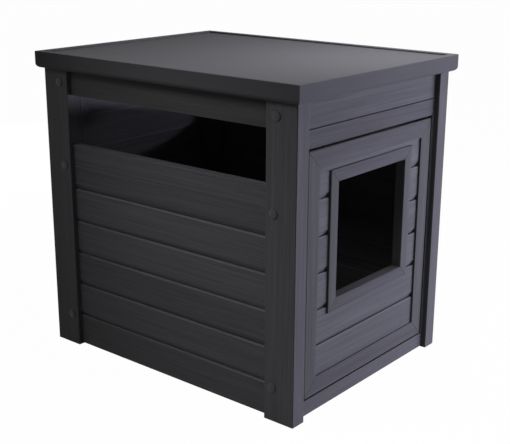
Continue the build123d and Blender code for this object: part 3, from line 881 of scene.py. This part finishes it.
class Boards(bpy.types.Operator):
    """Finish the rails, sills, stiles, floor and cleats"""

    bl_idname = "litter_table.boards"
    bl_label = "Boards"

    def execute(self, context):
        colours = context.scene.table_colours
        across = composite("Cross board composite", colours.board, "X")
        finish_nodes(across, "apron", "bottom_rail", "back_upper_rail")
        long = composite("Long board composite", colours.board, "Y")
        finish_nodes(long, "left_sill", "right_sill", "floor_panel")
        finish_nodes(long, "floor_bearer_left", "floor_bearer_right", "top_cleat_left", "top_cleat_right")
        # The upper rails take the darker rail colour: painted shade under the top's overhang
        rail = composite("Long rail composite", colours.rail, "Y")
        finish_nodes(rail, "left_upper_rail", "right_upper_rail")
        upright = composite("Upright board composite", colours.board, "Z")
        finish_nodes(upright, "jamb_left", "jamb_right", "back_stile_left", "back_stile_right")
        return {"FINISHED"}


class Header(bpy.types.Operator):
    """Build the header with the shadow gap that parts it from the apron"""

    bl_idname = "litter_table.header"
    bl_label = "Header"

    def execute(self, context):
        sizes = context.scene.table_sizes
        lower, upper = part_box("header")
        finish = composite("Header composite", context.scene.table_colours.frame, "X")
        nodes, given = new_tree("Shadow gap", {"Gap size": "Vector", "Gap middle": "Vector"})
        gap = nodes.box(given["Gap size"], given["Gap middle"])
        tree = close_tree(nodes, nodes.cut(nodes.weld(given["Geometry"]), gap), finish)
        values = {
            "Gap size": 2 * Vector((upper.x - lower.x, sizes.gap_depth, sizes.gap_height)),
            "Gap middle": Vector((0, lower.y, upper.z)),  # on the board's upper front edge
        }
        take_place(grow("header_board", bare_mesh("header"), tree, values), "cabinet", "header")
        return {"FINISHED"}


class Posts(bpy.types.Operator):
    """Finish the four corner posts"""

    bl_idname = "litter_table.posts"
    bl_label = "Posts"

    def execute(self, context):
        finish = composite("Post composite", context.scene.table_colours.post, "Z")
        finish_nodes(finish, "post_front_left", "post_front_right", "post_back_left", "post_back_right")
        return {"FINISHED"}


class TableTop(bpy.types.Operator):
    """Finish the top panel and its mitred edge strips"""

    bl_idname = "litter_table.table_top"
    bl_label = "Table top"

    def execute(self, context):
        top = context.scene.table_colours.top
        finish_nodes(satin("Top panel satin", top, "Y"), "top_panel")
        finish_nodes(satin("Cross edge satin", top, "X"), "top_edge_front", "top_edge_back")
        finish_nodes(satin("Long edge satin", top, "Y"), "top_edge_left", "top_edge_right")
        return {"FINISHED"}


class DoorFrame(bpy.types.Operator):
    """Build the door's frame and window trim with the fine seams of their mitres"""

    bl_idname = "litter_table.door_frame"
    bl_label = "Door frame"

    def execute(self, context):
        colours = context.scene.table_colours
        across = self.seam_tree("Seams of rails", composite("Door rail composite", colours.frame, "X"))
        upright = self.seam_tree("Seams of stiles", composite("Door stile composite", colours.stile, "Z"))
        self.seam_members({
            "door_bottom_rail": across,
            "door_top_rail": across,
            "door_stile_left": upright,
            "door_stile_right": upright,
        })
        self.seam_members({
            "window_sill": across,
            "window_trim_head": across,
            "window_trim_left": upright,
            "window_trim_right": upright,
        })
        return {"FINISHED"}

    def seam_tree(self, name, finish):
        """Cuts a shallow seam across each corner of a mitred frame."""
        inputs = {"Low corner": "Vector", "High corner": "Vector", "Seam size": "Vector"}
        nodes, given = new_tree(name, inputs)
        west, face, foot = nodes.parts(given["Low corner"])
        east, _, head = nodes.parts(given["High corner"])
        corners = ((west, foot, -MITRE), (east, head, -MITRE), (west, head, MITRE), (east, foot, MITRE))
        seams = [
            nodes.box(given["Seam size"], nodes.join(across, face, level), (0.0, turn, 0.0))
            for across, level, turn in corners
        ]
        return close_tree(nodes, nodes.cut(nodes.weld(given["Geometry"]), seams), finish)

    def seam_members(self, members):
        """Grow the members of one mitred frame, rails first, and put them in the place of their CAD nodes."""
        sizes = bpy.context.scene.table_sizes
        lows, highs = zip(*[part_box(node) for node in members])
        reach = SEAM_REACH * (highs[0].z - lows[0].z)
        values = {
            "Low corner": Vector([min(corner[k] for corner in lows) for k in range(3)]),
            "High corner": Vector([max(corner[k] for corner in highs) for k in range(3)]),
            "Seam size": Vector((reach, 2 * sizes.mitre_depth, sizes.mitre_seam)),
        }
        for node, tree in members.items():
            piece = grow(f"mitred_{node}", bare_mesh(node), tree, values, FACET_EDGE)
            take_place(piece, "door", node)


class Fittings(bpy.types.Operator):
    """Finish the bolts, inserts, pivots and catch"""

    bl_idname = "litter_table.fittings"
    bl_label = "Fittings"

    def execute(self, context):
        colours = context.scene.table_colours
        zinc = plated("Bolt zinc", colours.zinc, roughness=0.4)
        finish_nodes(zinc, "post_bolts", "strike_plate")
        dark = plated("Pin steel", colours.dark_steel, roughness=0.45)
        finish_nodes(dark, "pivot_pins")
        brass = plated("Insert brass", colours.brass, roughness=0.34)
        finish_nodes(brass, "bolt_inserts")
        plastic = moulded("Fitting plastic", colours.black, roughness=0.48, pits=1100.0)
        finish_nodes(plastic, "pivot_bushes", "catch_case")
        ferrite = moulded("Magnet ferrite", colours.ferrite, roughness=0.6, pits=1500.0)
        finish_nodes(ferrite, "catch_magnet")
        return {"FINISHED"}


class Stage(bpy.types.Operator):
    """Set the floor, the lamps, the white surroundings and the camera"""

    bl_idname = "litter_table.stage"
    bl_label = "Stage"

    def execute(self, context):
        scene, stage = context.scene, context.scene.table_stage
        scene.view_settings.view_transform = "Standard"
        self.lay_floor(scene, stage)
        self.light_room(scene, stage)
        for name in LAMPS:
            self.hang_lamp(scene, name)
        self.place_camera(scene, stage)
        return {"FINISHED"}

    def seen_rays(self, nodes):
        """1 for what the camera sees, directly, in gloss or through glass."""
        rays = nodes.node("ShaderNodeLightPath").socket.node.outputs
        seen = Value(nodes, rays["Is Camera Ray"])
        for name in ("Is Glossy Ray", "Is Transmission Ray"):
            seen = seen.at_least(Value(nodes, rays[name]))
        return seen

    def lay_floor(self, scene, stage):
        half = stage.floor_size / 2
        corners = [(-half, -half, 0), (half, -half, 0), (half, half, 0), (-half, half, 0)]
        mesh = bpy.data.meshes.new("floor")
        mesh.from_pydata(corners, [], [(0, 1, 2, 3)])
        floor = bpy.data.objects.new("floor", mesh)
        scene.collection.objects.link(floor)
        material, nodes = new_finish("Pale floor")
        matt = nodes.node("ShaderNodeBsdfDiffuse", None, {"Color": shade(WHITE, stage.floor_grey)})
        white = nodes.node("ShaderNodeEmission", None, {"Color": shade(WHITE, 1.0), "Strength": 1.0})
        share = self.seen_rays(nodes) * stage.floor_white
        mixed = nodes.node("ShaderNodeMixShader", None, {0: share, 1: matt, 2: white})
        nodes.node("ShaderNodeOutputMaterial", None, {"Surface": mixed})
        mesh.materials.append(material)

    def light_room(self, scene, stage):
        world = bpy.data.worlds.new("White room")
        world.use_nodes = True
        world.node_tree.nodes.clear()
        nodes = Nodes(world.node_tree)
        dim, white = (
            nodes.node("ShaderNodeBackground", None, {"Color": shade(WHITE, 1.0), "Strength": strength})
            for strength in (stage.room_grey, 1.0)
        )
        mixed = nodes.node("ShaderNodeMixShader", None, {0: self.seen_rays(nodes), 1: dim, 2: white})
        nodes.node("ShaderNodeOutputWorld", None, {"Surface": mixed})
        scene.world = world

    def hang_lamp(self, scene, name):
        settings = getattr(scene, f"{name}_lamp")
        place, aim = Vector(settings.place), Vector(settings.aim)
        lamp = bpy.data.lights.new(name, "AREA")
        lamp.shape = "RECTANGLE"
        lamp.energy = settings.power
        lamp.color = settings.colour
        lamp.size, lamp.size_y = settings.size
        lamp.spread = settings.spread
        holder = bpy.data.objects.new(name, lamp)
        holder.visible_camera = False
        holder.visible_glossy = False
        holder.location = place
        holder.rotation_euler = (aim - place).to_track_quat("-Z", "Y").to_euler()
        scene.collection.objects.link(holder)

    def place_camera(self, scene, stage):
        yaw, pitch, roll = stage.camera_yaw, stage.camera_pitch, stage.camera_roll
        right = Vector((math.cos(yaw), -math.sin(yaw), 0))
        ahead = Vector((math.sin(yaw) * math.cos(pitch), math.cos(yaw) * math.cos(pitch), -math.sin(pitch)))
        level = right.cross(ahead)
        side = right * math.cos(roll) + level * math.sin(roll)
        rise = level * math.cos(roll) - right * math.sin(roll)
        camera = bpy.data.cameras.new("camera")
        camera.sensor_fit = "HORIZONTAL"
        camera.sensor_width = FILM_WIDTH
        camera.lens = stage.lens
        holder = bpy.data.objects.new("camera", camera)
        turn = Matrix((side, rise, -ahead)).transposed().to_4x4()
        holder.matrix_world = Matrix.Translation(Vector(stage.camera_place)) @ turn
        scene.collection.objects.link(holder)
        scene.camera = holder


OPERATORS = (
    WallSlats, DoorSlats, BoltCaps, ScrewHeads, Boards, Header, Posts, TableTop, DoorFrame, Fittings, Stage,
)


class TablePanel(bpy.types.Panel):
    """Lists the settings and the steps that dress the table"""

    bl_idname = "VIEW3D_PT_litter_table"
    bl_label = "Litter box table"
    bl_space_type = "VIEW_3D"
    bl_region_type = "UI"
    bl_category = "Table"

    def draw(self, context):
        for name, group in GROUPS.items():
            box = self.layout.box()
            for field in group.__annotations__:
                box.prop(getattr(context.scene, name), field)
        for operator in OPERATORS:
            self.layout.operator(operator.bl_idname)


CLASSES = (*GROUPS.values(), *OPERATORS, TablePanel)


def register():
    for item in CLASSES:
        bpy.utils.register_class(item)
    for name, group in GROUPS.items():
        setattr(bpy.types.Scene, name, PointerProperty(type=group))


def unregister():
    for name in GROUPS:
        delattr(bpy.types.Scene, name)
    for item in reversed(CLASSES):
        bpy.utils.unregister_class(item)


def main():
    register()
    for operator in OPERATORS:
        group, name = operator.bl_idname.split(".")
        getattr(getattr(bpy.ops, group), name)()


if __name__ == "__main__":
    main()
